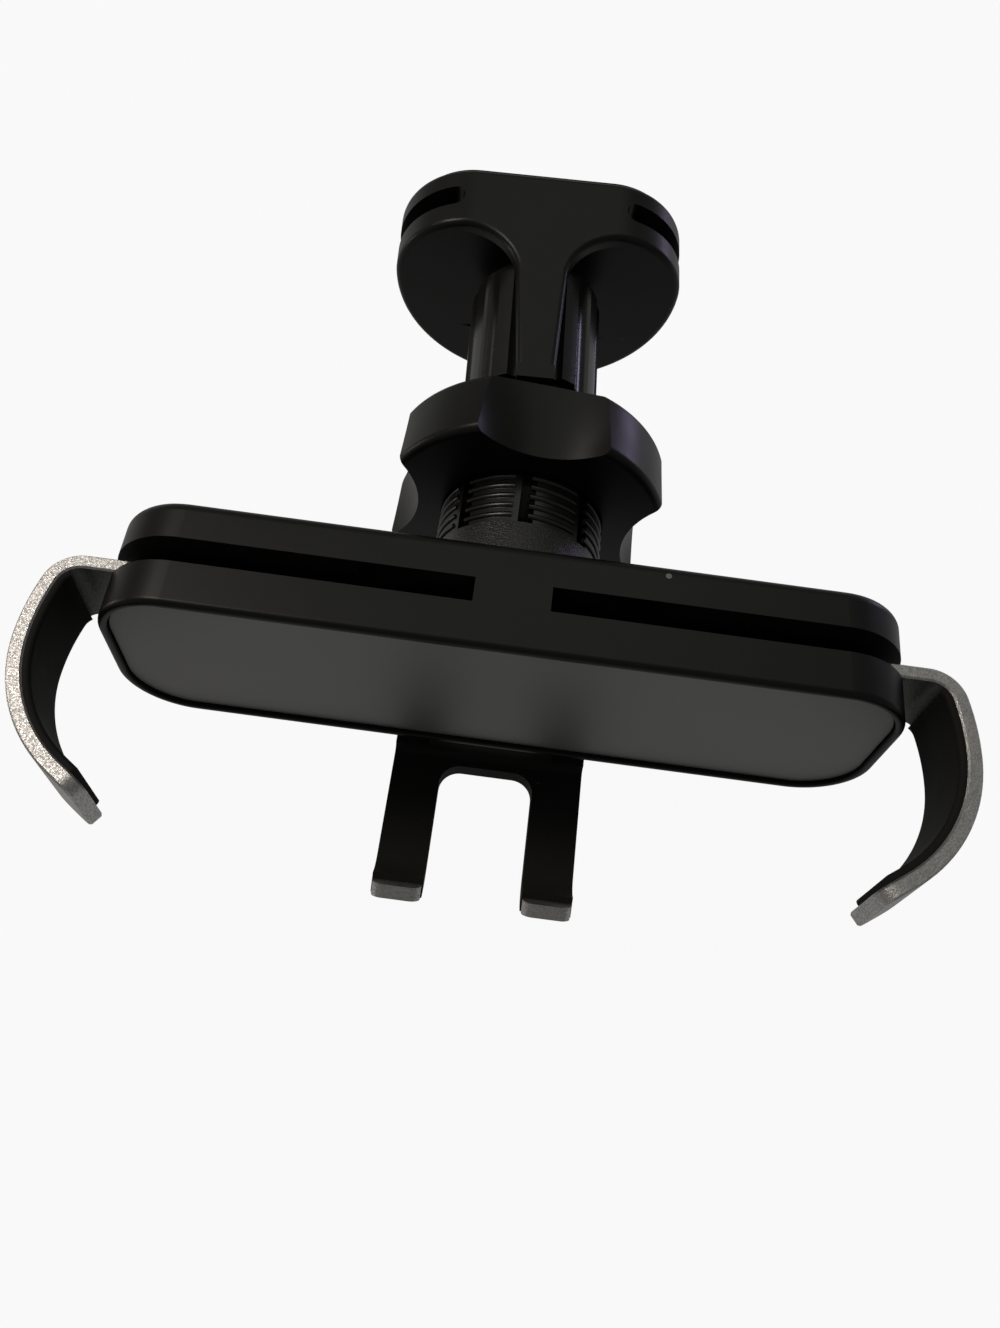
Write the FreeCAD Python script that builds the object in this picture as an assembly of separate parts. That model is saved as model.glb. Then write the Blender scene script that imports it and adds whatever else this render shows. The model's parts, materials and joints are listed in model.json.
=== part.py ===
"""Air vent phone mount: a hook clip for the vent, a ball joint with a clamping nut, and a cradle.

The cradle's foot slides down under the phone and its two pegs swing both arms up and inwards.
Millimetres. +X is to the right, +Y runs into the vent and +Z is up. The origin lies on the stem's
axis, where the rubber face of the clip meets the vent.
"""
import FreeCAD
import Part
import math
import os
from FreeCAD import Placement, Rotation, Vector

# How the ball joint is set: the cradle's turn against the clip
set_tilt_deg = 5.0
set_pan_deg = 3.0

# Cradle housing
body_width = 87.0
body_height = 24.6
corner_radius = 8.0
front_depth = 5.2
arm_slot = 3.0
rear_depth = 5.0
front_edge = 0.65
rear_edge = 1.5
housing_wall = 1.8
bridge_width = 8.2
running_gap = 0.2

# Metal plate let into the front
plate_rim = 1.2
rim_round = 0.25
plate_thickness = 0.6
plate_gap = 0.15
plate_sink = 0.6
plate_backing = 0.8

# Aluminium arms and their rubber
strip_thickness = 1.6
arm_height = 9.8
arm_edge = 0.2
arm_front_gap = 0.4
arm_drop = 4.3
arm_stand_off = 2.25
arm_bend_radius = 2.5
arm_bend_deg = 76.0
arm_sweep_radius = 26.4
arm_curl_radius = 16.7
arm_curl_deg = 55.3
arm_tip_length = 3.7
arm_tip_round = 2.0
rubber_thickness = 0.8
rubber_round = 0.5
rubber_inset = 0.2
rubber_tip_gap = 2.0

# Arm drive
pivot_x = 17.0
pivot_rise = 4.0
pin_radius = 1.5
pin_seat = 1.9
pin_gap = 0.05
lever_rim = 1.3
peg_x = 6.0
peg_radius = 1.2
peg_gap = 0.25
foot_travel = 8.0

# Foot
leg_width = 15.0
fork_width = 23.3
fork_gap = 11.9
fork_gap_round = 2.6
fork_drop = 6.5
fork_bend_radius = 1.8
fork_bridge = 2.3
fork_run = 12.7
lip_radius = 4.0
lip_deg = 57.0
lip_length = 2.4
lip_round = 1.3
pad_wrap = 0.15
slider_width = 15.6
slider_top_gap = 1.0
slider_rail = 5.2
rivet_radius = 1.0
rivet_x = 4.6
spring_radius = 1.5
spring_wire = 0.25
spring_turns = 6.0
spring_seat_height = 1.8
spring_boss_width = 4.0
spring_boss_height = 2.0

# Housing screws
screw_radius = 1.2
screw_head_radius = 2.2
screw_head_depth = 1.3
screw_boss_radius = 2.5
screw_low = 6.8
screw_outer_x = 33.5
screw_inner_x = 15.5

# Ball joint
ball_radius = 8.5
ball_to_back = 13.0
joint_gap = 0.25
liner_thickness = 0.5
liner_reach_deg = 40.0
liner_seat_deg = 66.0
collet_radius = 9.6
collet_base_radius = 10.4
collet_base_length = 4.6
collet_thread_end = 2.4
collet_end = 5.2
collet_nose_radius = 8.95
collet_spigot_radius = 5.0
collet_spigot_length = 2.4
slit_count = 8
slit_width = 1.7
slit_turn_deg = 2.0

# Clamping nut
nut_front = 1.3
nut_rear = 8.3
nut_radius = 17.3
nut_rear_radius = 16.8
nut_back_radius = 13.2
nut_rear_edge = 1.4
nut_round = 0.9
nut_lobes = 4
nut_lobe_deg = 38.0
nut_dip_front = 12.7
nut_dip_rear = 14.4
nut_turn_deg = 4.5
nut_gap = 0.3
nut_mouth_radius = 9.2

# Vent clip
pad_thickness = 0.8
pad_inset = 1.2
drum_radius = 19.2
drum_flat = 10.4
drum_depth = 9.6
drum_edge = 0.8
drum_rear_edge = 1.2
drum_slot_width = 3.0
drum_slot_web = 10.5
clip_reach = 35.8
yoke_front = 12.6
yoke_bridge = 2.0
yoke_bridge_radius = 7.4
tongue_thickness = 1.7
tongue_tip_width = 4.5
tongue_root_width = 6.4
tongue_fillet = 7.4
neck_radius = 4.0
stud_collar_radius = 4.9
stud_collar = 1.0
stud_shank_radius = 3.5
stud_gap = 0.08
stud_head_radius = 4.6
stud_head = 0.9

# Knob and hook
knob_gap = 0.2
knob_end_round = 2.2
knob_collar_radius = 6.0
knob_collar_length = 2.0
knob_flutes = 12
flute_radius = 1.6
flute_depth = 0.7
rod_radius = 2.5
rod_flat = 1.9
rod_gap = 0.1
rod_length = 24.0
insert_radius = 4.2
insert_length = 10.0
insert_seat = 3.0
hook_width = 10.0
hook_thickness = 2.0
hook_draw = 4.0
hook_gap = 6.2
hook_bend_radius = 2.0
hook_drop = 5.5
hook_lip_deg = 35.0
hook_lip = 2.4
sleeve_thickness = 0.7

# Stations along the cradle's own Y axis, counted from the ball's centre
back_y = -ball_to_back
slot_rear_y = back_y - rear_depth
slot_front_y = slot_rear_y - arm_slot
face_y = slot_front_y - front_depth
half_width = body_width / 2
half_height = body_height / 2

# Heights and depths in the arm drive
arm_top = half_height - arm_drop
arm_bottom = arm_top - arm_height
arm_face_y = slot_front_y + arm_front_gap
arm_back_y = arm_face_y + strip_thickness
pivot_z = arm_bottom + pivot_rise
peg_z = pivot_z + foot_travel / 2
lever_reach = math.hypot(pivot_x - peg_x, foot_travel / 2)
channel_y = face_y + plate_sink + plate_thickness + plate_backing
leg_front_y = channel_y + running_gap
leg_back_y = leg_front_y + strip_thickness
slider_back_y = slot_front_y - running_gap / 2
slider_top = peg_z + peg_radius + slider_top_gap
rivet_z = peg_z - 2 * rivet_radius
slider_seat_z = rivet_z - 2 * rivet_radius - slider_top_gap
spring_y = (leg_back_y + running_gap + slot_rear_y - running_gap) / 2
floor_z = -half_height
spring_floor_z = floor_z + spring_seat_height

# Stations along the stem, from the vent face forwards
drum_rear_y = -pad_thickness
drum_front_y = drum_rear_y - drum_depth
ball_y = drum_front_y - clip_reach
yoke_front_y = ball_y + yoke_front
yoke_inner_y = yoke_front_y + yoke_bridge
knob_radius = drum_flat - tongue_thickness - knob_gap
knob_front_y = yoke_inner_y + running_gap
knob_rear_y = drum_front_y - running_gap
grip_rear_y = knob_rear_y - knob_collar_length
insert_rear_y = knob_rear_y - insert_seat
insert_front_y = insert_rear_y - insert_length

cradle_place = Placement(
    Vector(0, ball_y, 0),
    Rotation(Vector(1, 0, 0), -set_tilt_deg) * Rotation(Vector(0, 0, 1), -set_pan_deg),
)


def plan(u, v):
    """Point of a flat outline seen from above."""
    return Vector(u, v, 0)


def side(u, v):
    """Point of a flat outline seen from the side, with u along Y."""
    return Vector(0, u, v)


def box(x0, x1, y0, y1, z0, z1):
    return Part.makeBox(x1 - x0, y1 - y0, z1 - z0, Vector(x0, y0, z0))


def rod(radius, y0, y1, x=0.0, z=0.0):
    """Round bar along Y."""
    return Part.makeCylinder(radius, y1 - y0, Vector(x, y0, z), Vector(0, 1, 0))


def turned(points):
    """Solid of revolution about the Y axis through (radius, y) points."""
    outline = Part.makePolygon([plan(r, y) for r, y in points + points[:1]])
    return Part.Face(outline).revolve(Vector(0, 0, 0), Vector(0, 1, 0), 360)


def fused(first, *others):
    return first.fuse(list(others)).removeSplitter()


def mirrored(shape):
    return shape.mirror(Vector(0, 0, 0), Vector(1, 0, 0))


def edges_at(shape, y):
    """Edges that lie in the plane at one station along Y."""
    def flat(edge):
        bounds = edge.BoundBox
        return abs(bounds.YMin - y) < 1e-5 and abs(bounds.YMax - y) < 1e-5
    return [edge for edge in shape.Edges if flat(edge)]


def arc(a, b, c):
    return Part.Arc(a, b, c).toShape()


def line(a, b):
    return Part.LineSegment(a, b).toShape()


def slab(inset, y0, y1):
    """Rounded block with the housing's outline, drawn in by an inset."""
    w = half_width - inset
    h = half_height - inset
    r = corner_radius - inset
    corners = [(w - r, h - r, 0), (r - w, h - r, 90), (r - w, r - h, 180), (w - r, r - h, 270)]
    edges = []
    last = None
    for x, z, start in corners:
        angles = [math.radians(start + turn) for turn in (0, 45, 90)]
        points = [Vector(x + r * math.cos(t), y0, z + r * math.sin(t)) for t in angles]
        if last is not None:
            edges.append(line(last, points[0]))
        edges.append(arc(*points))
        last = points[2]
    edges.append(line(last, edges[0].Vertexes[0].Point))
    return Part.Face(Part.Wire(edges)).extrude(Vector(0, y1 - y0, 0))


def travel(start, heading, moves):
    """Walks straight runs ("run", length) and bends ("bend", radius, left turn) along a flat path.

    Returns a list of (point, heading) at the ends and, for a bend, its middle.
    """
    u, v = start
    stations = []
    for move in moves:
        steps = [(u, v, heading)]
        if move[0] == "run":
            reach = math.radians(heading)
            u += move[1] * math.cos(reach)
            v += move[1] * math.sin(reach)
        else:
            radius, turn = move[1], move[2]
            hand = math.copysign(1, turn)
            centre_way = math.radians(heading + 90 * hand)
            cu = u + radius * math.cos(centre_way)
            cv = v + radius * math.sin(centre_way)
            for share in (0.5, 1.0):
                way = heading + turn * share
                out = math.radians(way - 90 * hand)
                steps.append((cu + radius * math.cos(out), cv + radius * math.sin(out), way))
            u, v, heading = steps.pop()
        stations.append(steps + [(u, v, heading)])
    return stations


def strip(start, heading, moves, near, far, space):
    """Face between two offsets, counted to the left, of a path of runs and bends."""
    stations = travel(start, heading, moves)

    def shifted(station, offset):
        u, v, way = station
        left = math.radians(way + 90)
        return space(u + offset * math.cos(left), v + offset * math.sin(left))

    edges = []
    for offset in (near, far):
        for steps in stations:
            points = [shifted(station, offset) for station in steps]
            edges.append(arc(*points) if len(points) == 3 else line(*points))
    for station in (stations[0][0], stations[-1][-1]):
        edges.append(line(shifted(station, near), shifted(station, far)))
    return Part.Face(Part.Wire(Part.__sortEdges__(edges)))


def screw_places():
    return [(hand * x, -screw_low) for x in (screw_inner_x, screw_outer_x) for hand in (-1, 1)]


def pin_holes(y0, y1):
    return [rod(pin_radius, y0, y1, x, pivot_z) for x in (-pivot_x, pivot_x)]


def front_shell():
    shell = slab(0, face_y, slot_front_y)
    shell = shell.makeFillet(front_edge, edges_at(shell, face_y))
    recess = slab(plate_rim - plate_gap, face_y, face_y + plate_sink + plate_thickness)
    shell = shell.cut(recess)
    shell = shell.makeFillet(rim_round, [edge for edge in edges_at(shell, face_y) if is_rim_inside(edge)])
    half = slider_width / 2 + running_gap
    channel = box(-half, half, channel_y, slot_front_y, floor_z, slider_top + running_gap)
    pins = pin_holes(slot_front_y - pin_seat, slot_front_y)
    screws = [rod(screw_radius, channel_y, slot_front_y, x, z) for x, z in screw_places()]
    return shell.cut([channel] + pins + screws)


def is_rim_inside(edge):
    """True for the edges of the front that border the plate's recess."""
    corner = edge.Vertexes[0].Point
    outward = max(abs(corner.x) - half_width, abs(corner.z) - half_height)
    return outward < -(front_edge + plate_rim - plate_gap) / 2


def face_plate():
    return slab(plate_rim, face_y + plate_sink, face_y + plate_sink + plate_thickness)


def rear_shell():
    shell = slab(0, slot_rear_y, back_y)
    shell = shell.makeFillet(rear_edge, edges_at(shell, back_y))
    wall = slab(0, slot_front_y, slot_rear_y).cut(slab(housing_wall, slot_front_y, slot_rear_y))
    low = box(-half_width, half_width, slot_front_y, slot_rear_y, floor_z, arm_bottom - 1.0)
    half = bridge_width / 2
    bridge = box(-half, half, slot_front_y, slot_rear_y, half_height - housing_wall, half_height)
    half = spring_boss_width / 2
    seat = box(-half, half, leg_back_y + running_gap, slot_rear_y, floor_z, spring_floor_z)
    bosses = [rod(screw_boss_radius, slot_front_y, slot_rear_y, x, z) for x, z in screw_places()]
    shell = fused(shell, wall.common(low), bridge, seat, *bosses)
    pins = pin_holes(slot_rear_y, slot_rear_y + pin_seat)
    spigot = rod(collet_spigot_radius, back_y - collet_spigot_length, back_y)
    screws = [rod(screw_radius, slot_front_y, back_y, x, z) for x, z in screw_places()]
    head_y = back_y - screw_head_depth
    heads = [rod(screw_head_radius, head_y, back_y, x, z) for x, z in screw_places()]
    return shell.cut(pins + [spigot] + screws + heads)


def shell_screws():
    screws = []
    for x, z in screw_places():
        shank = rod(screw_radius, channel_y + running_gap, back_y, x, z)
        head = rod(screw_head_radius, back_y - screw_head_depth, back_y - running_gap, x, z)
        slot = box(x - screw_head_radius, x + screw_head_radius, back_y - 0.7, back_y, z - 0.3, z + 0.3)
        screws.append(fused(shank, head).cut(slot))
    return Part.makeCompound(screws)


def pivot_pin():
    return rod(pin_radius, slot_front_y - pin_seat, slot_rear_y + pin_seat, pivot_x, pivot_z)


def arm_moves(tip_gap):
    """Path of the arm's inner face in plan, from the end of its straight lever."""
    return [
        ("bend", arm_bend_radius, -arm_bend_deg),
        ("bend", arm_sweep_radius, arm_bend_deg - 90),
        ("bend", arm_curl_radius, -arm_curl_deg),
        ("run", arm_tip_length - tip_gap),
    ]


def lever_capsule(radius, reach):
    """Bar with round ends from the pivot towards the peg."""
    way = math.atan2(peg_z - pivot_z, peg_x - pivot_x)
    end_x = pivot_x + reach * math.cos(way)
    end_z = pivot_z + reach * math.sin(way)
    bar = box(0, reach, arm_face_y, arm_back_y, -radius, radius)
    bar.rotate(Vector(0, 0, 0), Vector(0, 1, 0), -math.degrees(way))
    bar.translate(Vector(pivot_x, 0, pivot_z))
    ends = [rod(radius, arm_face_y, arm_back_y, x, z) for x, z in ((pivot_x, pivot_z), (end_x, end_z))]
    return fused(bar, *ends)


def right_arm():
    bend_x = half_width + arm_stand_off
    blade = box(pivot_x, bend_x, arm_face_y, arm_back_y, arm_bottom, arm_top)
    slot_half = peg_radius + peg_gap
    lever = lever_capsule(slot_half + lever_rim, lever_reach)
    claw_face = strip((bend_x, arm_face_y), 0, arm_moves(0), 0, strip_thickness, plan)
    claw = claw_face.extrude(Vector(0, 0, arm_height))
    claw.translate(Vector(0, 0, arm_bottom))
    tip_edges = [edge for edge in claw.Edges if is_tip_corner(edge)]
    claw = claw.makeFillet(arm_tip_round, tip_edges)
    arm = fused(blade, lever, claw)
    arm = arm.makeChamfer(arm_edge, [edge for edge in arm.Edges if is_strip_edge(edge)])
    pivot_hole = rod(pin_radius + pin_gap, arm_face_y, arm_back_y, pivot_x, pivot_z)
    shortest = pivot_x - peg_x - slot_half
    hub = rod(shortest, arm_face_y, arm_back_y, pivot_x, pivot_z)
    return arm.cut([pivot_hole, lever_capsule(slot_half, lever_reach).cut(hub)])


def is_strip_edge(edge):
    """True for the long upper and lower edges of the arm's strip."""
    bounds = edge.BoundBox
    level = bounds.ZLength < 1e-6 and bounds.XMax > pivot_x + 1e-6
    return level and min(abs(bounds.ZMin - arm_top), abs(bounds.ZMin - arm_bottom)) < 1e-6


def is_tip_corner(edge):
    """True for the two short edges across the strip at the claw's free end."""
    bounds = edge.BoundBox
    level = bounds.ZLength < 1e-6
    across = abs(edge.Length - strip_thickness) < 1e-6
    return level and across and bounds.YMax < arm_face_y - arm_bend_radius


def right_arm_pad(arm):
    bend_x = half_width + arm_stand_off
    half_bend = [("bend", arm_bend_radius, -arm_bend_deg / 2)]
    u, v, heading = travel((bend_x, arm_face_y), 0, half_bend)[-1][-1]
    moves = half_bend + arm_moves(rubber_tip_gap)[1:]
    pad = strip((u, v), heading, moves, -rubber_thickness, 0, plan)
    pad = pad.extrude(Vector(0, 0, arm_height - 2 * rubber_inset))
    pad.translate(Vector(0, 0, arm_bottom + rubber_inset))
    return pad.makeFillet(rubber_round, [edge for edge in pad.Edges if is_pad_edge(edge, arm)])


def is_pad_edge(edge, arm):
    """True for the long edges of the rubber's free face, away from the arm."""
    level = edge.BoundBox.ZLength < 1e-6
    return level and edge.distToShape(arm)[0] > rubber_thickness / 2


def fork_moves(top_z, tip_gap):
    """Path of the fork's inner face seen from the side, down the leg and forwards to the lip's end."""
    leg = top_z - (floor_z - fork_drop) - fork_bend_radius
    return [
        ("run", leg),
        ("bend", fork_bend_radius, -90),
        ("run", fork_bridge + fork_run - fork_bend_radius),
        ("bend", lip_radius, -lip_deg),
        ("run", lip_length - tip_gap),
    ]


def fork_blank(width, top_z, tip_gap, near):
    blank = strip((leg_front_y, top_z), -90, fork_moves(top_z, tip_gap), near, strip_thickness, side)
    blank = blank.extrude(Vector(width, 0, 0))
    blank.translate(Vector(-width / 2, 0, 0))
    return blank


def fork_cutters(grow):
    """What is taken from the bent blank: the shoulders beside the leg, and the mouth between the prongs."""
    wide = fork_width
    high = slider_top + 1
    shoulder_z = floor_z - fork_drop + fork_bend_radius + grow
    leg_half = leg_width / 2 + grow
    mouth_rear = leg_front_y - fork_bridge - grow
    beside = box(leg_half, wide, mouth_rear, slot_front_y, shoulder_z, high)
    gap_half = fork_gap / 2 - grow
    mouth = box(-gap_half, gap_half, face_y - 2 * wide, mouth_rear, floor_z - 4 * fork_drop, high)
    upright = [edge for edge in edges_at(mouth, mouth_rear) if edge.BoundBox.ZLength > fork_drop]
    mouth = mouth.makeFillet(fork_gap_round, upright)
    return [beside, mirrored(beside), mouth]


def foot_fork():
    fork = fork_blank(fork_width, slider_top, 0, 0).cut(fork_cutters(0))
    fork = fork.makeFillet(lip_round, [edge for edge in fork.Edges if is_lip_corner(edge)])
    return fork.cut(rivet_bars())


def is_lip_corner(edge):
    """True for the short edges across the strip at the prongs' free ends."""
    bounds = edge.BoundBox
    across = abs(edge.Length - strip_thickness) < 1e-6 and bounds.XLength < 1e-6
    return across and bounds.YMax < leg_front_y - fork_bridge - fork_run


def foot_pad():
    """Rubber moulded over the fork's top and edges, from under the housing to short of the lips' ends."""
    width = fork_width + 2 * pad_wrap
    cover = fork_blank(width, floor_z - 2 * running_gap, rubber_tip_gap, -rubber_thickness)
    return cover.cut(fork_cutters(pad_wrap) + [foot_fork()])


def foot_slider():
    half = slider_width / 2
    bar = box(-half, half, leg_back_y, slider_back_y, slider_seat_z, slider_top)
    rail_x = half - (slider_width - spring_boss_width) / 4
    rails = [box(rail_x, half, leg_back_y, slider_back_y, slider_seat_z - slider_rail, slider_seat_z)]
    rails.append(mirrored(rails[0]))
    half = spring_boss_width / 2
    boss = box(-half, half, leg_back_y, arm_back_y, slider_seat_z, slider_seat_z + spring_boss_height)
    pegs = [rod(peg_radius, leg_back_y, arm_back_y, x, peg_z) for x in (-peg_x, peg_x)]
    return fused(bar, *rails, boss, *pegs).cut(rivet_bars())


def rivet_bars():
    return [rod(rivet_radius, leg_front_y, slider_back_y, x, rivet_z) for x in (-rivet_x, rivet_x)]


def foot_rivets():
    return Part.makeCompound(rivet_bars())


def foot_spring():
    length = slider_seat_z - spring_floor_z - 2 * spring_wire
    path = Part.makeHelix(length / spring_turns, length, spring_radius)
    corners = []
    for index in range(7):
        angle = index * math.pi / 3
        x = spring_radius + spring_wire * math.cos(angle)
        corners.append(Vector(x, 0, spring_wire * math.sin(angle)))
    spring = Part.Wire(path).makePipeShell([Part.makePolygon(corners)], True, True)
    spring.translate(Vector(0, spring_y, spring_floor_z + spring_wire))
    return spring


def ball_stud():
    ball = Part.makeSphere(ball_radius)
    neck = rod(neck_radius, 0, yoke_front - stud_collar)
    collar = rod(stud_collar_radius, yoke_front - stud_collar - stud_gap, yoke_front - stud_gap)
    shank = rod(stud_shank_radius, 0, yoke_front + yoke_bridge)
    head = rod(stud_head_radius, yoke_front + yoke_bridge - stud_head, yoke_front + yoke_bridge)
    stud = fused(ball, neck, collar, shank, head)
    stud.translate(Vector(0, ball_y, 0))
    return stud


def friction_liner():
    inner = ball_radius + joint_gap
    outer = inner + liner_thickness
    cup = Part.makeSphere(outer).cut(Part.makeSphere(inner))
    mouth_y = -inner * math.cos(math.radians(liner_reach_deg))
    keep = box(-outer, outer, -outer, mouth_y, -outer, outer)
    return cup.common(keep)


def collet_socket():
    base_end = collet_base_length - ball_to_back
    body = turned([
        (0, back_y),
        (collet_base_radius, back_y),
        (collet_radius + nut_gap, base_end),
        (collet_radius, base_end),
        (collet_radius, collet_thread_end),
        (collet_nose_radius, collet_end),
        (0, collet_end),
    ])
    spigot = rod(collet_spigot_radius, back_y - collet_spigot_length, back_y)
    socket = Part.makeSphere(ball_radius + joint_gap)
    seat_radius = ball_radius + 2 * joint_gap + liner_thickness
    seat_y = -seat_radius * math.cos(math.radians(liner_seat_deg))
    seat = Part.makeSphere(seat_radius).common(
        box(-seat_radius, seat_radius, -seat_radius, seat_y, -seat_radius, seat_radius))
    reach = collet_base_radius
    slit = box(-reach, reach, base_end, collet_end, -slit_width / 2, slit_width / 2)
    slits = []
    for index in range(slit_count // 2):
        cutter = slit.copy()
        cutter.rotate(Vector(0, 0, 0), Vector(0, 1, 0), slit_turn_deg + 360 * index / slit_count)
        slits.append(cutter)
    return fused(body, spigot).cut([socket, seat] + slits)


def nut_section(dip, y):
    """Lobed outline: a round lobe, then a hollow that dips to a smaller radius."""
    pitch = 360 / nut_lobes
    outer = nut_radius + 0.2

    def at(radius, angle):
        return Vector(radius * math.sin(math.radians(angle)), y, radius * math.cos(math.radians(angle)))

    edges = []
    for index in range(nut_lobes):
        middle = nut_turn_deg + pitch * index
        edge = (pitch - nut_lobe_deg) / 2
        rise = at(outer, middle + edge)
        edges.append(arc(at(outer, middle - edge), at(dip, middle), rise))
        edges.append(arc(rise, at(outer, middle + pitch / 2), at(outer, middle + pitch - edge)))
    return Part.Wire(edges)


def lock_nut():
    ends = [nut_section(nut_dip_front, -nut_front), nut_section(nut_dip_rear, nut_rear)]
    lobed = Part.makeLoft(ends, True, True)
    envelope = turned([
        (0, -nut_front),
        (nut_radius, -nut_front),
        (nut_rear_radius, nut_rear - nut_rear_edge),
        (nut_back_radius, nut_rear),
        (0, nut_rear),
    ])
    rims = edges_at(envelope, -nut_front) + edges_at(envelope, nut_rear - nut_rear_edge)
    envelope = envelope.makeFillet(nut_round, rims)
    bore = turned([
        (0, -nut_front),
        (collet_radius + nut_gap, -nut_front),
        (collet_radius + nut_gap, collet_thread_end + nut_gap),
        (nut_mouth_radius, collet_end + nut_gap),
        (nut_mouth_radius, nut_rear),
        (0, nut_rear),
    ])
    return lobed.common(envelope).cut(bore)


def drum_outline(inset, y0, y1):
    """Drum section: round below, with a flat top between two rounded shoulders."""
    r = drum_radius - inset
    h = drum_flat - inset
    flat = r - h

    def at(x, z):
        return Vector(x, y0, z)

    bend = h * math.sqrt(0.5)
    edges = [
        line(at(-flat, h), at(flat, h)),
        arc(at(flat, h), at(flat + bend, bend), at(r, 0)),
        arc(at(r, 0), at(0, -r), at(-r, 0)),
        arc(at(-r, 0), at(-flat - bend, bend), at(-flat, h)),
    ]
    return Part.Face(Part.Wire(edges)).extrude(Vector(0, y1 - y0, 0))


def tongue_outline():
    """Plan of one tongue, from the bridge to the drum, where it flares in two hollow fillets."""
    tip = tongue_tip_width / 2
    root = tongue_root_width / 2
    flare_y = drum_front_y - tongue_fillet
    sunk_y = drum_front_y + drum_edge
    sweep = tongue_fillet * (1 - math.sqrt(0.5))
    right = [
        line(plan(tip, yoke_front_y), plan(root, flare_y)),
        arc(plan(root, flare_y), plan(root + sweep, drum_front_y - sweep),
            plan(root + tongue_fillet, drum_front_y)),
        line(plan(root + tongue_fillet, drum_front_y), plan(root + tongue_fillet, sunk_y)),
    ]
    left = [mirrored(edge) for edge in right]
    ends = [
        line(plan(-tip, yoke_front_y), plan(tip, yoke_front_y)),
        line(plan(-root - tongue_fillet, sunk_y), plan(root + tongue_fillet, sunk_y)),
    ]
    return Part.Face(Part.Wire(Part.__sortEdges__(right + left + ends)))


def clip_frame():
    drum = drum_outline(0, drum_front_y, drum_rear_y)
    drum = drum.makeFillet(drum_rear_edge, edges_at(drum, drum_rear_y))
    tongue = tongue_outline().extrude(Vector(0, 0, tongue_thickness))
    tongue.translate(Vector(0, 0, drum_flat - tongue_thickness))
    top = tongue.common(drum_outline(0, yoke_front_y, drum_rear_y))
    bottom = tongue.mirror(Vector(0, 0, 0), Vector(0, 0, 1))
    bridge = rod(yoke_bridge_radius, yoke_front_y, yoke_inner_y)
    post_half = tongue_tip_width / 2
    post = box(-post_half, post_half, yoke_front_y, yoke_inner_y, -drum_flat, drum_flat)
    head = fused(drum, top)
    head = head.makeFillet(drum_edge, [edge for edge in head.Edges if is_tongue_edge(edge)])
    frame = fused(head, bottom, bridge, post)
    slot_mid = (drum_front_y + drum_rear_y) / 2
    slot_half = drum_slot_width / 2
    slot_x = drum_slot_web + slot_half
    slot_end = Part.makeCylinder(slot_half, 2 * drum_radius, Vector(slot_x, slot_mid, -drum_radius))
    slot_y = slot_mid - slot_half
    slot_run = box(slot_x, 2 * drum_radius, slot_y, slot_y + drum_slot_width, -drum_radius, drum_radius)
    slot = fused(slot_end, slot_run)
    stud_bore = rod(stud_shank_radius + stud_gap, yoke_front_y, yoke_inner_y)
    head_seat = rod(stud_head_radius + stud_gap, yoke_inner_y - stud_head - stud_gap, yoke_inner_y)
    return frame.cut([hook_keyway(), stud_bore, head_seat, slot, mirrored(slot)])


def is_tongue_edge(edge):
    """True for the upper edges along the top tongue, which run on smoothly round the drum's front."""
    bounds = edge.BoundBox
    slanted = bounds.XLength > 1e-6 and bounds.YLength > 1e-6
    return slanted and bounds.ZMin > drum_flat - 1e-6 and bounds.YMax < drum_front_y


def hook_keyway():
    """Space that the hook's rod and flat shank slide in."""
    half = hook_width / 2 + running_gap
    key_half = hook_thickness / 2 + running_gap
    key = box(-half, half, -hook_draw - running_gap, 0, -key_half, key_half)
    return fused(hook_rod(rod_gap, drum_front_y, 0), key)


def vent_pad():
    return drum_outline(pad_inset, drum_rear_y, 0).cut(hook_keyway())


def tightening_knob():
    grip = rod(knob_radius, knob_front_y, grip_rear_y)
    grip = grip.makeFillet(knob_end_round, edges_at(grip, grip_rear_y))
    collar = rod(knob_collar_radius, grip_rear_y, knob_rear_y)
    orbit = knob_radius + flute_radius - flute_depth
    flutes = []
    for index in range(knob_flutes):
        angle = 2 * math.pi * (index + 0.5) / knob_flutes
        x = orbit * math.cos(angle)
        z = orbit * math.sin(angle)
        flutes.append(rod(flute_radius, knob_front_y, grip_rear_y, x, z))
    bore = rod(rod_radius + knob_gap, knob_front_y, knob_rear_y)
    seat = rod(insert_radius, insert_front_y, insert_rear_y)
    return fused(grip.cut(flutes), collar).cut([bore, seat])


def knob_insert():
    insert = rod(insert_radius, insert_front_y, insert_rear_y)
    return insert.cut(rod(rod_radius + rod_gap, insert_front_y, insert_rear_y))


def hook_rod(gap, y0, y1):
    """Round rod with one flat underneath, so that it can't turn in the clip."""
    reach = rod_radius + gap
    flat = box(-reach, reach, y0, y1, -reach - 1, -rod_flat - gap)
    return rod(reach, y0, y1).cut(flat)


def hook_moves():
    shank = hook_gap + sleeve_thickness - hook_bend_radius
    return [
        ("run", shank),
        ("bend", hook_bend_radius, -90),
        ("run", hook_drop),
        ("bend", hook_bend_radius, -hook_lip_deg),
        ("run", hook_lip),
    ]


def hook_blade(width, moves, start, heading, near, far):
    blade = strip(start, heading, moves, near, far, side).extrude(Vector(width, 0, 0))
    blade.translate(Vector(-width / 2, 0, 0))
    return blade


def vent_hook():
    start = (0, -hook_thickness / 2)
    blade = hook_blade(hook_width, hook_moves(), start, 0, 0, hook_thickness)
    return fused(hook_rod(0, -rod_length, running_gap), blade)


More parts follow.
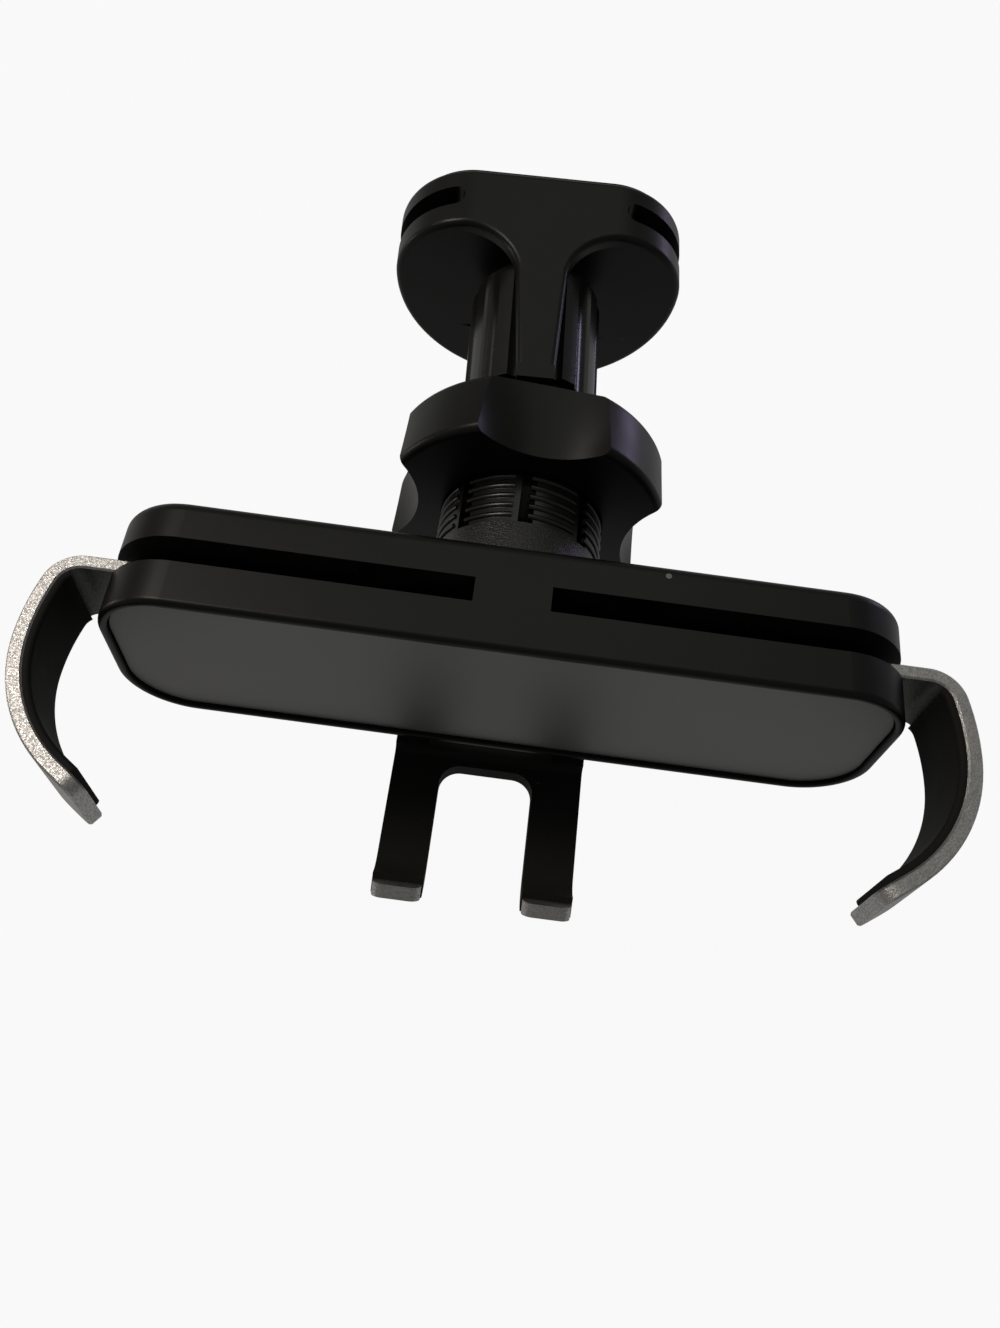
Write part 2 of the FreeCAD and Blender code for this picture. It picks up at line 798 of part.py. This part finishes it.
def hook_sleeve():
    moves = hook_moves()
    u, v, heading = travel((0, -hook_thickness / 2), 0, moves[:2])[-1][-1]
    wide = hook_width + 2 * sleeve_thickness
    outside = hook_thickness + sleeve_thickness
    cover = hook_blade(wide, moves[2:], (u, v), heading, -sleeve_thickness, outside)
    return cover.cut(hook_blade(hook_width, moves[2:], (u, v), heading, 0, hook_thickness))


def main():
    arm = right_arm()
    arm_pad = right_arm_pad(arm)
    pin = pivot_pin()
    cradle = {
        "front_shell": front_shell(),
        "face_plate": face_plate(),
        "rear_shell": rear_shell(),
        "shell_screws": shell_screws(),
        "right_pivot_pin": pin,
        "left_pivot_pin": mirrored(pin),
        "right_arm": arm,
        "left_arm": mirrored(arm),
        "right_arm_pad": arm_pad,
        "left_arm_pad": mirrored(arm_pad),
        "foot_fork": foot_fork(),
        "foot_pad": foot_pad(),
        "foot_slider": foot_slider(),
        "foot_rivets": foot_rivets(),
        "foot_spring": foot_spring(),
        "friction_liner": friction_liner(),
        "collet_socket": collet_socket(),
        "lock_nut": lock_nut(),
    }
    nodes = {
        "clip_frame": clip_frame(),
        "vent_pad": vent_pad(),
        "tightening_knob": tightening_knob(),
        "knob_insert": knob_insert(),
        "vent_hook": vent_hook(),
        "hook_sleeve": hook_sleeve(),
        "ball_stud": ball_stud(),
    }
    for name, shape in cradle.items():
        nodes[name] = shape.copy()
        nodes[name].Placement = cradle_place * shape.Placement
    os.makedirs("parts", exist_ok=True)
    for name, shape in nodes.items():
        shape.exportStep(f"parts/{name}.step")
        print(f"{name}: {len(shape.Solids)} solid(s), {shape.Volume:.1f} mm3, valid {shape.isValid()}")


main()
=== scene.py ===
# %% [markdown]
# # Dressing an air vent phone mount
#
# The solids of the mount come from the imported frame: a clip for the vent, a ball joint under a lobed
# nut, and a cradle with two arms and a foot. This lesson gives them their finishes, adds the thread
# ridges that are too fine for the solids, and sets the light and the camera of the photograph.
# The frame comes first, because every later piece is placed by what it holds.

# %% Load the frame and keep its box
import json
import math

import bpy
from mathutils import Euler, Matrix, Vector


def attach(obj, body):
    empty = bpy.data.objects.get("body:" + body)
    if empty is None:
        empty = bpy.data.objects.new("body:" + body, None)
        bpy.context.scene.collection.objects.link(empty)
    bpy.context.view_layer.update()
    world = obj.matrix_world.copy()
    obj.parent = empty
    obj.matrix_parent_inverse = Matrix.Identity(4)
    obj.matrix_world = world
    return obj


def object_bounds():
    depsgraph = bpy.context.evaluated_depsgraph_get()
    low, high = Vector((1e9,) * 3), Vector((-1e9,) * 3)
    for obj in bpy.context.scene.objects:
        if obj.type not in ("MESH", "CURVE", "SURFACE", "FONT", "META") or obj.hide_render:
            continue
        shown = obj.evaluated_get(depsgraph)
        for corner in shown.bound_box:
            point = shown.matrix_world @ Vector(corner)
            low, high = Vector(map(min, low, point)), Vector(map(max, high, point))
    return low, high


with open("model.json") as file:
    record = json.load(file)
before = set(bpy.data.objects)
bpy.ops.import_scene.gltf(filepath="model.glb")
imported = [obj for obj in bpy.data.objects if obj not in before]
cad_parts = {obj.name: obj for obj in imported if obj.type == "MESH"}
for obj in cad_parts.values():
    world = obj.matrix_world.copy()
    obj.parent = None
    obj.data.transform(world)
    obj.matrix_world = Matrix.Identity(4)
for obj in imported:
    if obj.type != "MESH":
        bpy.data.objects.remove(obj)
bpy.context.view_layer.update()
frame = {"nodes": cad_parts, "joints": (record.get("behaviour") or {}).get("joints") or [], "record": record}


nodes = frame["nodes"]
joints = {joint["name"]: joint for joint in frame["joints"]}

# %% [markdown]
# The cradle is turned a little on its ball, as the photograph shows it. Its own axes can be read
# from the joints: the nut turns about the cradle's length from face to ball, and the foot slides
# down its height. A matrix built from the two carries anything from the cradle's frame to the row's.

# %% The cradle's own frame
ball_centre = Vector(joints["nut_turn"]["pos_m"])
cradle_back = Vector(joints["nut_turn"]["axis"]).normalized()
cradle_up = -Vector(joints["foot_slide"]["axis"]).normalized()
cradle_right = cradle_back.cross(cradle_up)
cradle_turn = Matrix((cradle_right, cradle_back, cradle_up)).transposed().to_4x4()
cradle_frame = Matrix.Translation(ball_centre) @ cradle_turn
print("ball at", ball_centre, "cradle looks along", -cradle_back)

# %% [markdown]
# A finish is a small node tree. Writing it as arithmetic is easier to read than a list of links, so
# one class wraps a socket: adding or multiplying two of them adds a Math node, and every other kind
# of node comes from its one method, which sets the node's settings, then its values and links.

# %% A class for surface values
class Field:
    """A value that varies over a surface: one output socket in a material's tree."""

    def __init__(self, tree, socket=None):
        self.tree = tree
        self.socket = socket

    def node(self, kind, settings=(), inputs=(), output=0):
        made = self.tree.nodes.new(kind)
        for name, value in dict(settings).items():
            if name == "stops":
                self.set_stops(made.color_ramp.elements, value)
            else:
                setattr(made, name, value)
        for name, value in dict(inputs).items():
            if isinstance(value, Field):
                self.tree.links.new(value.socket, made.inputs[name])
            else:
                made.inputs[name].default_value = value
        return Field(self.tree, made.outputs[output])

    @staticmethod
    def set_stops(elements, stops):
        while len(elements) < len(stops):
            elements.new(1.0)
        for element, (place, shade) in zip(elements, stops):
            element.position = place
            element.color = (shade, shade, shade, 1.0)

    def math(self, operation, first, second):
        return self.node("ShaderNodeMath", {"operation": operation}, {0: first, 1: second})

    def __add__(self, other):
        return self.math("ADD", self, other)

    def __sub__(self, other):
        return self.math("SUBTRACT", self, other)

    def __rsub__(self, other):
        return self.math("SUBTRACT", other, self)

    def __mul__(self, other):
        return self.math("MULTIPLY", self, other)

    def above(self, limit):
        return self.math("GREATER_THAN", self, limit)

    def below(self, limit):
        return self.math("LESS_THAN", self, limit)

    def into(self, shader, name):
        self.tree.links.new(self.socket, shader.inputs[name])


def new_finish(name, **constants):
    """A material with its constant sockets set, its shader and the place on the object."""
    material = bpy.data.materials.new(name)
    material.use_nodes = True
    shader = material.node_tree.nodes["Principled BSDF"]
    for socket, value in constants.items():
        shader.inputs[socket.replace("_", " ")].default_value = value
    place = Field(material.node_tree).node("ShaderNodeTexCoord", output="Object")
    return material, shader, place


print("surface values ready")

# %% [markdown]
# A few patterns serve every finish here. Grain is noise of a given size in millimetres, and streaks are
# grain drawn out along an axis. A tint mixes two colours by a value, and a veil lays one over another.
# Dust is a scatter of tiny specks: each Voronoi cell holds one round dot, and only the few cells whose
# own random number is high enough keep theirs. A bump turns a pattern into relief.

# %% Patterns shared by the finishes
def grain(place, size_mm, detail=2.0):
    return place.node(
        "ShaderNodeTexNoise", {},
        {"Vector": place, "Scale": 1000.0 / size_mm, "Detail": detail, "Roughness": 0.6}, output="Fac",
    )


def streaks(place, size_mm, stretch):
    """Noise drawn out along one axis, as a brush or a saw leaves it."""
    scaled = place.node("ShaderNodeMapping", {}, {"Vector": place, "Scale": stretch})
    return grain(scaled, size_mm)


def tint(value, low, high):
    return value.node(
        "ShaderNodeMix", {"data_type": "RGBA"},
        {"Factor": value, 6: (*low, 1.0), 7: (*high, 1.0)}, output=2,
    )


def veil(mask, under, over):
    """A colour laid over another colour field where the mask is 1."""
    return mask.node(
        "ShaderNodeMix", {"data_type": "RGBA"}, {"Factor": mask, 6: under, 7: (*over, 1.0)}, output=2,
    )


def dust(place, spacing_mm, speck_mm, share):
    cells = {"Vector": place, "Scale": 1000.0 / spacing_mm}
    near = place.node("ShaderNodeTexVoronoi", {}, cells, output="Distance")
    chance = place.node("ShaderNodeTexVoronoi", {}, cells, output="Color")
    draw = chance.node("ShaderNodeSeparateColor", {}, {"Color": chance}, output="Red")
    return near.below(speck_mm / spacing_mm) * draw.above(1.0 - share)


def bump(height, shader, depth_mm):
    """Turns a height of 0 to 1 into a surface normal."""
    relief = {"Height": height, "Distance": depth_mm / 1000.0, "Strength": 1.0}
    height.node("ShaderNodeBump", {}, relief, output="Normal").into(shader, "Normal")


print("patterns ready")

# %% [markdown]
# The mouldings are black with a soft sheen. Real black plastic is never one tone: the sheen wanders
# where fingers have polished the spark-eroded grain, and a little dust lies on it. A wide noise moves
# the roughness, a fine one gives the grain, and specks lie on top. The housing also has one pale nick
# on its top edge.

# %% Satin black moulding
def moulded_black(name, tone, sheen, grain_mm, depth_mm, gloss=0.2, nick=None):
    material, shader, place = new_finish(name, Specular_IOR_Level=gloss)
    handled = grain(place, 9.0, 3.0)
    fine = grain(place, grain_mm)
    specks = dust(place, spacing_mm=2.6, speck_mm=0.13, share=0.05)
    colour = tint(handled, [tone * 0.8] * 3, [tone * 1.25, tone * 1.24, tone * 1.2])
    if nick is not None:
        ends = {0: place, 1: nick}
        from_nick = place.node("ShaderNodeVectorMath", {"operation": "DISTANCE"}, ends, output="Value")
        specks = specks + from_nick.below(nick_radius)
    veil(specks, colour, (0.16, 0.155, 0.15)).into(shader, "Base Color")
    (handled * 0.16 + fine * 0.1 + (sheen - 0.13)).into(shader, "Roughness")
    bump(fine, shader, depth_mm)
    return material


nick_radius = 0.00033
nick_place = cradle_frame @ Vector((0.0162, -0.01466, 0.0123))
satin_black = moulded_black("satin_black", 0.0045, 0.36, 0.22, 0.004, nick=nick_place)
grip_black = moulded_black("grip_black", 0.007, 0.25, 0.5, 0.003, gloss=0.42)
print("mouldings:", satin_black.name, grip_black.name)

# %% [markdown]
# The ring under the collet has a coarse spark texture that catches the light as small bright grains,
# while the threaded part above it is smooth and black. One solid carries both, so the finish changes
# where the ring ends, measured from the ball along the cradle. The same grain drives the colour, so
# the tops of the bumps are painted paler than the hollows: painted shade in the hollows.

# %% Collet with a textured ring
def along(place, way, start):
    """Distance in metres of a place from a start, counted along a direction."""
    moved = place.node("ShaderNodeVectorMath", {"operation": "SUBTRACT"}, {0: place, 1: start})
    both = {0: moved, 1: way}
    return place.node("ShaderNodeVectorMath", {"operation": "DOT_PRODUCT"}, both, output="Value")


def spark_textured(ring_end):
    material, shader, place = new_finish("spark_textured", Specular_IOR_Level=0.42)
    ring = along(place, cradle_back, ball_centre).below(ring_end)
    fine = grain(place, 0.24, 3.0)
    broad = grain(place, 3.0)
    grain_and_hollow_shade = fine * 0.7 + broad * 0.3
    # Painted shade: the grain's low parts, the hollows, get the darker colour; the wide noise adds random
    # tone.
    tint(ring * grain_and_hollow_shade, (0.004, 0.004, 0.004), (0.024, 0.0235, 0.0225)).into(shader, "Base Color")
    (ring * (fine * 0.2 - 0.08) + 0.3).into(shader, "Roughness")
    bump(ring * fine, shader, 0.09)
    return material


collet_grey = spark_textured(ring_end=-0.0084)
print("collet:", collet_grey.name)

# %% [markdown]
# The plate on the front is dark metal with a fine blasted surface. Its base colour is dark, so its
# brightness comes from what it reflects, and a very wide noise lets that drift along its length.

# %% Dark plate metal
def dark_plate():
    material, shader, place = new_finish("dark_plate", Metallic=0.85, Specular_IOR_Level=0.4)
    blast = grain(place, 0.12)
    cloud = grain(place, 30.0, 1.0)
    tint(cloud, (0.165, 0.166, 0.167), (0.21, 0.208, 0.206)).into(shader, "Base Color")
    (blast * 0.08 + cloud * 0.1 + 0.46).into(shader, "Roughness")
    bump(blast, shader, 0.002)
    return material


plate_grey = dark_plate()
print("plate:", plate_grey.name)

# %% [markdown]
# The arms and the foot are sheared from aluminium sheet and tumbled. Under the light the sheared
# edges glitter with grains of very different brightness, so one noise breaks up both the colour and
# the roughness, and a stretched one leaves the faint drag of the shear. Where the arms leave the
# housing their inner face is made near-black: that is where the surface looks to the cradle's front
# and lies no further forward than the root bend. Inside the housing they are black all round, which
# is painted shade that keeps the slots dark.

# %% Tumbled aluminium
slot_reach = 0.0415
root_front = -0.0225
facing_front = 0.72


def tumbled_aluminium(name, darkened_root):
    material, shader, place = new_finish(name, Metallic=1.0)
    speckle = grain(place, 0.2, 3.0)
    glint = speckle.node("ShaderNodeValToRGB", {"stops": [(0.34, 0.0), (0.68, 1.0)]}, {"Fac": speckle})
    drag = streaks(place, 1.1, (1.0, 1.0, 6.0))
    mixed = glint * 0.6 + drag * 0.4
    colour = tint(mixed, (0.22, 0.217, 0.223), (0.64, 0.627, 0.615))
    if darkened_root:
        facing = place.node("ShaderNodeTexCoord", output="Normal")
        forward = along(facing, -cradle_back, (0.0, 0.0, 0.0)).above(facing_front)
        sideways = along(place, cradle_right, ball_centre)
        slot_shade = sideways.math("ABSOLUTE", sideways, 0.0).below(slot_reach)
        rearward = along(place, cradle_back, ball_centre).above(root_front)
        # Painted shade: black all round inside the housing, to keep the slots dark; near-black on the root's
        # inner face.
        dark_root_and_slot_shade = forward.math("MAXIMUM", forward, slot_shade) * rearward
        veil(dark_root_and_slot_shade, colour, (0.034, 0.036, 0.03)).into(shader, "Base Color")
        (1.0 - dark_root_and_slot_shade).into(shader, "Metallic")
    else:
        colour.into(shader, "Base Color")
    (0.55 - glint * 0.28).into(shader, "Roughness")
    bump(mixed, shader, 0.03)
    return material


foot_silver = tumbled_aluminium("foot_silver", darkened_root=False)
arm_silver = tumbled_aluminium("arm_silver", darkened_root=True)
print("aluminium:", foot_silver.name, arm_silver.name)

# %% [markdown]
# Rubber swallows light. It gets a high roughness, almost no colour, a slightly pebbled surface and
# more dust than the mouldings, since rubber holds on to it.

# %% Matte rubber
def matte_rubber():
    material, shader, place = new_finish("matte_rubber", Specular_IOR_Level=0.22)
    pebble = grain(place, 0.35)
    worn = grain(place, 6.0)
    lint = dust(place, spacing_mm=1.7, speck_mm=0.12, share=0.1)
    colour = tint(worn, (0.003, 0.003, 0.0026), (0.0062, 0.0062, 0.0052))
    veil(lint, colour, (0.12, 0.115, 0.1)).into(shader, "Base Color")
    (worn * 0.2 + 0.66).into(shader, "Roughness")
    bump(pebble, shader, 0.02)
    return material


pad_rubber = matte_rubber()
print("rubber:", pad_rubber.name)

# %% [markdown]
# What is hidden inside still needs a finish, since the joints open it to view: plated steel with a
# drawn surface for the hook, pins, screws and spring, turned brass for the insert, a polished ball,
# and acetal for the slide and the liner, painted near-black as painted shade where the slide shows in the
# slots.

# %% Inner metals and plastics
def drawn_metal(name, low, high, sheen):
    material, shader, place = new_finish(name, Metallic=1.0)
    lines = streaks(place, 0.5, (1.0, 0.12, 1.0))
    tint(lines, low, high).into(shader, "Base Color")
    (lines * 0.2 + sheen).into(shader, "Roughness")
    bump(lines, shader, 0.004)
    return material


def slot_shade_acetal():
    material, shader, place = new_finish("slot_shade_acetal", Specular_IOR_Level=0.4)
    cloud = grain(place, 4.0)
    # Painted shade: near-black, so that the slide seen in the slots stays dark.
    tint(cloud, (0.007, 0.007, 0.007), (0.012, 0.012, 0.012)).into(shader, "Base Color")
    (cloud * 0.15 + 0.35).into(shader, "Roughness")
    bump(grain(place, 0.4), shader, 0.004)
    return material


finishes = {
    "satin_plastic": satin_black,
    "grip_plastic": grip_black,
    "textured_plastic": collet_grey,
    "plate_metal": plate_grey,
    "arm_aluminium": foot_silver,
    "soft_rubber": pad_rubber,
    "plated_steel": drawn_metal("drawn_steel", (0.36, 0.36, 0.37), (0.58, 0.58, 0.6), 0.26),
    "insert_brass": drawn_metal("turned_brass", (0.55, 0.37, 0.13), (0.76, 0.56, 0.25), 0.24),
    "ball_plastic": moulded_black("polished_ball", 0.012, 0.22, 0.8, 0.002),
    "slide_plastic": slot_shade_acetal(),
}
for part in frame["record"]["subparts"]:
    data = nodes[part["node"]].data
    data.materials.clear()
    data.materials.append(finishes[part["material_slot"]])
for name in ("left_arm", "right_arm"):
    nodes[name].data.materials[0] = arm_silver
print("finishes on", len(nodes), "solids")

# %% [markdown]
# The clamping nut runs on ridges that the slits of the collet break into eight short rows. Every ridge
# is the same arc of a bead, so Geometry Nodes make one, repeat it up the collet at the thread's pitch,
# and repeat that column round the collet. The bead is half sunk in the solid, so it grows out of it.

# %% Thread ridges as a node tree
def ridge_tree():
    tree = bpy.data.node_groups.new("collet_ridges", "GeometryNodeTree")
    sizes = [
        ("Radius", "NodeSocketFloat"), ("Bead", "NodeSocketFloat"), ("Pitch", "NodeSocketFloat"),
        ("Rows", "NodeSocketInt"), ("Columns", "NodeSocketInt"), ("Sweep", "NodeSocketFloat"),
        ("First Angle", "NodeSocketFloat"), ("Finish", "NodeSocketMaterial"),
    ]
    for name, kind in sizes:
        tree.interface.new_socket(name, in_out="INPUT", socket_type=kind)
    tree.interface.new_socket("Geometry", in_out="OUTPUT", socket_type="NodeSocketGeometry")
    given = tree.nodes.new("NodeGroupInput").outputs

    def add(kind, links=(), **settings):
        made = tree.nodes.new(kind)
        for name, value in settings.items():
            setattr(made, name, value)
        for name, value in dict(links).items():
            if hasattr(value, "is_output"):
                tree.links.new(value, made.inputs[name])
            else:
                made.inputs[name].default_value = value
        return made.outputs

    arc = add("GeometryNodeCurveArc", {
        "Resolution": 14, "Radius": given["Radius"],
        "Start Angle": given["First Angle"], "Sweep Angle": given["Sweep"],
    })
    bead = add("GeometryNodeCurvePrimitiveCircle", {"Resolution": 8, "Radius": given["Bead"]})
    ridge = add("GeometryNodeCurveToMesh", {
        "Curve": arc[0], "Profile Curve": bead[0], "Fill Caps": True,
    })
    step = add("ShaderNodeCombineXYZ", {"Z": given["Pitch"]})
    rows = add("GeometryNodeMeshLine", {"Count": given["Rows"], "Offset": step[0]})
    column = add("GeometryNodeInstanceOnPoints", {"Points": rows[0], "Instance": ridge[0]})
    ring = add("GeometryNodeMeshLine", {"Count": given["Columns"], "Offset": (0.0, 0.0, 0.0)})
    share = add("ShaderNodeMath", {0: math.tau, 1: given["Columns"]}, operation="DIVIDE")
    index = add("GeometryNodeInputIndex")
    turn = add("ShaderNodeMath", {0: share[0], 1: index[0]}, operation="MULTIPLY")
    spin = add("ShaderNodeCombineXYZ", {"Z": turn[0]})
    whole = add("GeometryNodeInstanceOnPoints", {
        "Points": ring[0], "Instance": column[0], "Rotation": spin[0],
    })
    real = add("GeometryNodeRealizeInstances", {"Geometry": whole[0]})
    smooth = add("GeometryNodeSetShadeSmooth", {"Geometry": real[0]})
    dressed = add("GeometryNodeSetMaterial", {"Geometry": smooth[0], "Material": given["Finish"]})
    out = tree.nodes.new("NodeGroupOutput")
    tree.links.new(dressed[0], out.inputs[0])
    return tree


ridges = ridge_tree()
print("ridge tree with", len(ridges.nodes), "nodes")

# %% [markdown]
# The tree is run on an empty mesh, its result becomes a plain mesh, and the mesh is moved from the
# tree's own frame, where the collet stands along Z, to the collet's place behind the cradle.

# %% Run the tree and seat the ridges
def from_tree(name, tree, values):
    holder = bpy.data.objects.new(name + "_holder", bpy.data.meshes.new(name + "_holder"))
    bpy.context.scene.collection.objects.link(holder)
    modifier = holder.modifiers.new(name, "NODES")
    modifier.node_group = tree
    for item in tree.interface.items_tree:
        if item.in_out == "INPUT":
            modifier[item.identifier] = values[item.name]
    bpy.context.view_layer.update()
    seen = holder.evaluated_get(bpy.context.evaluated_depsgraph_get())
    mesh = bpy.data.meshes.new_from_object(seen)
    holder.modifiers.remove(modifier)
    bpy.data.objects.remove(holder)
    piece = bpy.data.objects.new(name, mesh)
    bpy.context.scene.collection.objects.link(piece)
    return piece


collet_radius = 0.0096
slit_width = 0.0017
slit_count = 8
first_slit = math.radians(-2.0)
first_ridge = -0.0073
bead_sunk = 0.00012
end_gap = 0.005
slit_half = math.asin(slit_width / 2 / collet_radius)
ridge_values = {
    "Radius": collet_radius - bead_sunk,
    "Bead": 0.0004,
    "Pitch": 0.00135,
    "Rows": 5,
    "Columns": slit_count,
    "Sweep": math.tau / slit_count - 2 * (slit_half + end_gap),
    "First Angle": first_slit + slit_half + end_gap,
    "Finish": collet_grey,
}
thread_ridges = from_tree("thread_ridges", ridges, ridge_values)
along_collet = Matrix.Translation((0.0, first_ridge, 0.0)) @ Matrix.Rotation(-math.pi / 2, 4, "X")
thread_ridges.data.transform(cradle_frame @ along_collet)
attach(thread_ridges, "cradle")
print("thread ridges:", len(thread_ridges.data.polygons), "faces")

# %% [markdown]
# The photograph is cut out on white. A broad pale floor well under the mount gives the plate and the
# aluminium something light to reflect, and shows white to the camera, while still taking a faint
# shadow from the object. The world is as white to the camera and lights the object only weakly.

# %% Floor and world
floor_reach = 3.0
floor_drop = 0.03
floor_white = 0.94
floor_sheen = 0.3
world_white = 0.95
world_light = 0.17


def pale_floor():
    material, shader, place = new_finish("pale_floor", Specular_IOR_Level=0.1, Roughness=0.9)
    shader.inputs["Base Color"].default_value = (0.3, 0.3, 0.3, 1.0)
    tree = material.node_tree
    seen = place.node("ShaderNodeLightPath", output="Is Camera Ray")
    glossy = place.node("ShaderNodeLightPath", output="Is Glossy Ray")
    clear = place.node("ShaderNodeLightPath", output="Is Transmission Ray")
    glow = place.node("ShaderNodeEmission", {}, {"Color": (1.0, 1.0, 1.0, 1.0), "Strength": 1.0})
    mixer = tree.nodes.new("ShaderNodeMixShader")
    ((seen + clear) * floor_white + glossy * floor_sheen).into(mixer, 0)
    tree.links.new(shader.outputs[0], mixer.inputs[1])
    tree.links.new(glow.socket, mixer.inputs[2])
    tree.links.new(mixer.outputs[0], tree.nodes["Material Output"].inputs["Surface"])
    return material


floor_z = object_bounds()[0][2] - floor_drop
floor_mesh = bpy.data.meshes.new("floor")
sides = ((-1, -1), (1, -1), (1, 1), (-1, 1))
floor_mesh.from_pydata([(floor_reach * x, floor_reach * y, floor_z) for x, y in sides], [], [(0, 1, 2, 3)])
floor_mesh.materials.append(pale_floor())
floor = bpy.data.objects.new("floor", floor_mesh)
bpy.context.scene.collection.objects.link(floor)

world = bpy.data.worlds.new("studio")
bpy.context.scene.world = world
world.use_nodes = True
background = world.node_tree.nodes["Background"]
background.inputs["Color"].default_value = (1.0, 1.0, 0.95, 1.0)
in_view = Field(world.node_tree).node("ShaderNodeLightPath", output="Is Camera Ray")
(in_view * (world_white - world_light) + world_light).into(background, "Strength")
print("floor at", round(floor_z, 4))

# %% [markdown]
# The edges that face left shine warm and those that face right shine violet, as between a window and a
# coloured screen. Two warm lamps, one high and one low, stand to the left, a violet one behind to the
# right, and a weak pale one hangs behind the head and draws the top edges.

# %% Lamps
def soft_lamp(name, place, aim, size, power, colour):
    data = bpy.data.lights.new(name, "AREA")
    data.shape = "DISK"
    data.size = size
    data.energy = power
    data.color = colour
    lamp = bpy.data.objects.new(name, data)
    lamp.location = place
    lamp.rotation_euler = (Vector(aim) - Vector(place)).to_track_quat("-Z", "Y").to_euler()
    bpy.context.scene.collection.objects.link(lamp)
    return lamp


centre = (0.0, -0.05, 0.0)
soft_lamp("warm_high", (-0.31, 0.14, 0.49), centre, 0.18, 1.35, (1.0, 0.92, 0.83))
soft_lamp("warm_low", (-0.56, 0.03, -0.01), centre, 0.12, 0.3, (1.0, 0.88, 0.76))
soft_lamp("violet_right", (0.48, 0.36, -0.01), centre, 0.12, 0.27, (0.72, 0.62, 1.0))
soft_lamp("over_head", (0.06, 0.36, 0.6), centre, 0.5, 0.39, (0.97, 1.0, 0.88))

# %% [markdown]
# The camera was found from the housing's own corners: a wide lens close above the cradle, rolled a few
# degrees, so that the right end of the cradle sits lower in the picture.

# %% Camera
sensor_mm = 36.0
focal_px = 1100.0
picture_px = 1328.0
camera_data = bpy.data.cameras.new("photo_camera")
camera_data.sensor_fit = "AUTO"
camera_data.sensor_width = sensor_mm
camera_data.lens = focal_px / picture_px * sensor_mm
camera_data.clip_start = 0.005
camera = bpy.data.objects.new("photo_camera", camera_data)
camera.location = (-0.005414, -0.117527, 0.115585)
camera.rotation_euler = Euler([math.radians(turn) for turn in (23.6463, -3.6858, 3.8107)])
bpy.context.scene.collection.objects.link(camera)
bpy.context.scene.camera = camera
bpy.context.scene.view_settings.view_transform = "Standard"
print("camera lens", round(camera_data.lens, 2))
